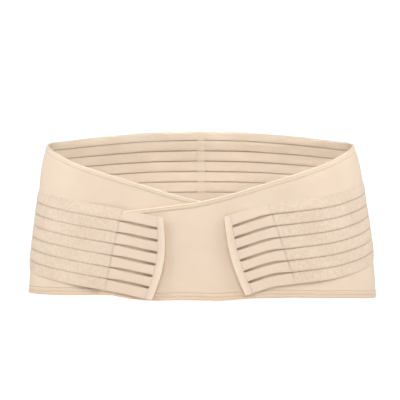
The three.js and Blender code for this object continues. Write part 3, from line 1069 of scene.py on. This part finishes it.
stitch_row, size, rowed = geometry_tree(
    "stitch_row", {"Pitch": "Float", "Stitch length": "Float", "Thread radius": "Float"}
)
line = add_node(stitch_row, "GeometryNodeMeshToCurve", {0: size["Cloth"]})
even = add_node(
    stitch_row,
    "GeometryNodeResampleCurve",
    {"Curve": line.outputs[0], "Length": size["Pitch"]},
    mode="LENGTH",
)
along = add_node(stitch_row, "GeometryNodeInputTangent")
aim = add_node(
    stitch_row, "FunctionNodeAlignRotationToVector", {"Vector": along.outputs[0]}, axis="X"
)
bead = add_node(
    stitch_row, "GeometryNodeMeshUVSphere", {"Segments": 6, "Rings": 4, "Radius": 1.0}
)
round_bead = add_node(stitch_row, "GeometryNodeSetShadeSmooth", {0: bead.outputs[0]})
half_stitch = add_node(
    stitch_row, "ShaderNodeMath", (size["Stitch length"], 0.5), operation="MULTIPLY"
)
bead_size = add_node(
    stitch_row,
    "ShaderNodeCombineXYZ",
    {
        "X": half_stitch,
        "Y": size["Thread radius"],
        "Z": size["Thread radius"],
    },
)
beads = add_node(
    stitch_row,
    "GeometryNodeInstanceOnPoints",
    {
        "Points": even.outputs[0],
        "Instance": round_bead.outputs[0],
        "Rotation": aim.outputs[0],
        "Scale": bead_size.outputs[0],
    },
)
end_tree(stitch_row, beads.outputs[0], size["Material"], rowed.inputs[0])

zigzag_row, size, zigzagged = geometry_tree(
    "zigzag_row", {"Pitch": "Float", "Width": "Float", "Thread radius": "Float"}
)
line = add_node(zigzag_row, "GeometryNodeMeshToCurve", {0: size["Cloth"]})
even = add_node(
    zigzag_row,
    "GeometryNodeResampleCurve",
    {"Curve": line.outputs[0], "Length": size["Pitch"]},
    mode="LENGTH",
)
along = add_node(zigzag_row, "GeometryNodeInputTangent")
across = add_node(
    zigzag_row,
    "ShaderNodeVectorMath",
    {0: along.outputs[0], 1: (0, 0, 1)},
    operation="CROSS_PRODUCT",
)
index = add_node(zigzag_row, "GeometryNodeInputIndex").outputs[0]
swing = add_node(zigzag_row, "ShaderNodeMath", (index, 2.0), operation="MODULO")
swing = add_node(zigzag_row, "ShaderNodeMath", (swing, 0.5), operation="SUBTRACT")
swing = add_node(zigzag_row, "ShaderNodeMath", (swing, size["Width"]), operation="MULTIPLY")
offset = add_node(
    zigzag_row, "ShaderNodeVectorMath", {0: across.outputs[0], "Scale": swing}, operation="SCALE"
)
swung = add_node(
    zigzag_row, "GeometryNodeSetPosition", {0: even.outputs[0], "Offset": offset.outputs[0]}
)
section = add_node(
    zigzag_row,
    "GeometryNodeCurvePrimitiveCircle",
    {"Resolution": 5, "Radius": size["Thread radius"]},
)
tube = add_node(
    zigzag_row,
    "GeometryNodeCurveToMesh",
    {"Curve": swung.outputs[0], "Profile Curve": section.outputs[0], "Fill Caps": True},
)
end_tree(zigzag_row, tube.outputs[0], size["Material"], zigzagged.inputs[0])


def seam_line(name, *rows):
    """Polylines on the flat cloth, each an array of points, for a row of stitches to follow."""
    points = np.concatenate(rows)
    stops = np.cumsum([len(row) for row in rows])
    links = [(k, k + 1) for k in range(len(points) - 1) if k + 1 not in stops]
    mesh = bpy.data.meshes.new(name)
    mesh.from_pydata(points, links, [])
    piece = bpy.data.objects.new(name, mesh)
    bpy.context.scene.collection.objects.link(piece)
    return piece


def lockstitch(name, slot, *rows):
    """Single stitches in a row, each a small bead of thread."""
    piece = seam_line(name, *rows)
    sizes = {
        "Pitch": STITCH_LENGTH + STITCH_GAP,
        "Stitch length": STITCH_LENGTH,
        "Thread radius": THREAD,
        "Material": thread,
    }
    run_nodes(piece, stitch_row, sizes)
    return close_round_waist(piece, thread, slot)


def zigzag(name, slot, *rows):
    """One thread that swings from side to side of a seam."""
    piece = seam_line(name, *rows)
    sizes = {
        "Pitch": ZIGZAG_PITCH,
        "Width": ZIGZAG_WIDTH,
        "Thread radius": THREAD,
        "Material": thread,
    }
    run_nodes(piece, zigzag_row, sizes)
    return close_round_waist(piece, thread, slot)


def row_points(around, height, out):
    """The points of one row, from numbers or arrays."""
    return np.stack(np.broadcast_arrays(around, height, out), -1)


def band_row(side, height, wall):
    """Points along a band of a front panel, at a height that is a function of the reach."""
    reach = np.linspace(HEM_WALL - overlap[side], SIDE_SEAM - HEM_WALL, 160)
    return row_points(side * reach, height(reach), panel_out(side, reach) + wall)


for side, word in SIDE_NAMES.items():
    neck_row = band_row(
        side, lambda reach: top_edge(reach) - NECK_HEM + STITCH_INSET, PANEL_WALL + THREAD / 2
    )
    lockstitch(f"{word}_neck_stitches", "hem_binding", neck_row)
    low_row = band_row(
        side,
        lambda reach, side=side: lower_edge[side](reach) + HEM_GROOVE,
        HEM_WALL - GROOVE_SINK + THREAD / 2,
    )
    lockstitch(f"{word}_bottom_stitches", "hem_binding", low_row)
    v = np.linspace(TAB_MARGIN, STRAP_WIDTH - TAB_MARGIN, 80)
    u = TAB_LENGTH - TABS[side]["hem"]
    reach, height = tab_place(side, u, v)
    out = strap_out(reach, v, tab_hold(u)) + 2 * thinned(TAB_WALL, v, tab_hold(u)) + tab_lift(u)
    end_row = row_points(side * reach, height, out - STITCH_SINK + THREAD / 2)
    lockstitch(f"{word}_tab_stitches", "tab_cloth", end_row)
    reach, height = tab_place(side, 0, v)
    out = strap_out(reach, v) + 2 * thinned(TAB_WALL, v)
    seam_row = row_points(side * reach, height, out + THREAD / 2)
    zigzag(f"{word}_tab_zigzag", "tab_cloth", seam_row)

around = np.linspace(back_start + HEM_WALL, back_end - HEM_WALL, 200)
back_row = row_points(
    around, HEM_GROOVE + back_rise(around), PANEL_WALL - GROOVE_SINK + THREAD / 2
)
lockstitch("back_bottom_stitches", "hem_binding", back_row)
height = np.linspace(tape_low + TAPE_MARGIN, tape_low + STRAP_WIDTH - TAPE_MARGIN, 40)
tape_rows = [
    row_points(
        HALF_GIRTH + edge * (TAPE_WIDTH / 2 - TAPE_MARGIN),
        height,
        tape_out + TAPE_WALL + THREAD / 2,
    )
    for edge in (-1, 1)
]
lockstitch("back_tape_stitches", "hem_binding", *tape_rows)
height = np.linspace(BOTTOM_HEM, top_edge(SIDE_SEAM) - SEAM_MARGIN, 60)
side_rows = [
    row_points(side * SIDE_SEAM % GIRTH, height, face)
    for side in SIDE_NAMES
    for face in (-THREAD / 2, PANEL_WALL + THREAD / 2)
]
zigzag("side_seam_zigzag", "slotted_elastic", *side_rows)

# The cut sizes.
# Each piece of cloth as it was cut, before the belt was sewn and closed.
reach = np.linspace(0, 1, 400)
back_reach = back_start + (back_end - back_start) * reach
back_area = np.mean(top_edge(np.minimum(back_reach, GIRTH - back_reach)) - back_low) * (
    back_end - back_start
)
for side, word in SIDE_NAMES.items():
    width = SIDE_SEAM - SEAM_GAP + overlap[side]
    panel_reach = -overlap[side] + width * reach
    tall = top_edge(panel_reach) - NECK_HEM - lower_edge[side](panel_reach) - BOTTOM_HEM
    seam = TABS[side]["seam"]

# The floor and the studio light.
# A sheet of white paper, so brightly lit that it leaves no more than a faint shadow, under a
# dim white sky. Soft lamps stand at both sides, above the camera and behind the belt, and a
# small gridded one reaches over the front edge into the opening.
FLOOR_SIZE = 3
# The camera sees the paper as white, by a share of plain glow, and the sky as pure white.
PAPER_WHITE = 1.25
PAPER_GLOW = 0.75
SKY = 0.3
SKY_SEEN = 1.1
bpy.ops.mesh.primitive_plane_add(size=FLOOR_SIZE)
floor = bpy.context.object
floor.name = "floor"
# Uncoated paper, which gives the eye a flat white with no gloss.
paper = bpy.data.materials.new("white_paper_floor")
paper.use_nodes = True
paper_tree = paper.node_tree
seen = add_node(paper_tree, "ShaderNodeLightPath").outputs["Is Camera Ray"]
glow = add_node(
    paper_tree, "ShaderNodeEmission", {"Color": srgb("#FFFFFF"), "Strength": PAPER_WHITE}
)
sheet = paper_tree.nodes["Principled BSDF"]
sheet.inputs["Base Color"].default_value = srgb("#F2F2F0")
sheet.inputs["Roughness"].default_value = 1.0
white = add_node(paper_tree, "ShaderNodeMath", (seen, PAPER_GLOW), operation="MULTIPLY")
lit = add_node(paper_tree, "ShaderNodeMixShader", (white, sheet, glow))
paper_tree.links.new(lit.outputs[0], paper_tree.nodes["Material Output"].inputs[0])
floor.data.materials.append(paper)

world = bpy.data.worlds.new("studio")
world.use_nodes = True
sky = world.node_tree
sky_seen = add_node(sky, "ShaderNodeLightPath").outputs["Is Camera Ray"]
sky.nodes["Background"].inputs["Color"].default_value = srgb("#FFFFFF")
sky_strength = add_node(
    sky, "ShaderNodeMath", (sky_seen, SKY_SEEN - SKY, SKY), operation="MULTIPLY_ADD"
)
sky.links.new(sky_strength.outputs[0], sky.nodes["Background"].inputs["Strength"])
bpy.context.scene.world = world
bpy.context.scene.view_settings.view_transform = "Standard"

# Each lamp's power in watts, its place, what it aims at, its size and its spread in degrees.
LAMPS = {
    "left_lamp": (23.4, (-2.0, -0.75, 1.35), (0, 0, 0.08), (1.2, 1.2), 180),
    "right_lamp": (23.6, (2.0, -0.75, 1.35), (0, 0, 0.08), (1.2, 1.2), 180),
    "front_lamp": (17.5, (0, -1.9, 1.5), (0, 0, 0.08), (1.4, 1.4), 180),
    "back_lamp": (12, (0, 2.4, 1.2), (0, 0, 0.08), (1.6, 1.2), 180),
    "opening_lamp": (0.065, (0, -0.7, 1.1), (0, 0.09, 0.124), (0.4, 0.12), 12),
}
for name, (watts, place, aim, lamp_size, spread) in LAMPS.items():
    lamp = bpy.data.objects.new(name, bpy.data.lights.new(name, "AREA"))
    bpy.context.scene.collection.objects.link(lamp)
    lamp.location = place
    away = mathutils.Vector(place) - mathutils.Vector(aim)
    lamp.rotation_euler = away.to_track_quat("Z", "Y").to_euler()
    lamp.data.shape = "RECTANGLE"
    lamp.data.size, lamp.data.size_y = lamp_size
    lamp.data.spread = math.radians(spread)
    lamp.data.energy = watts
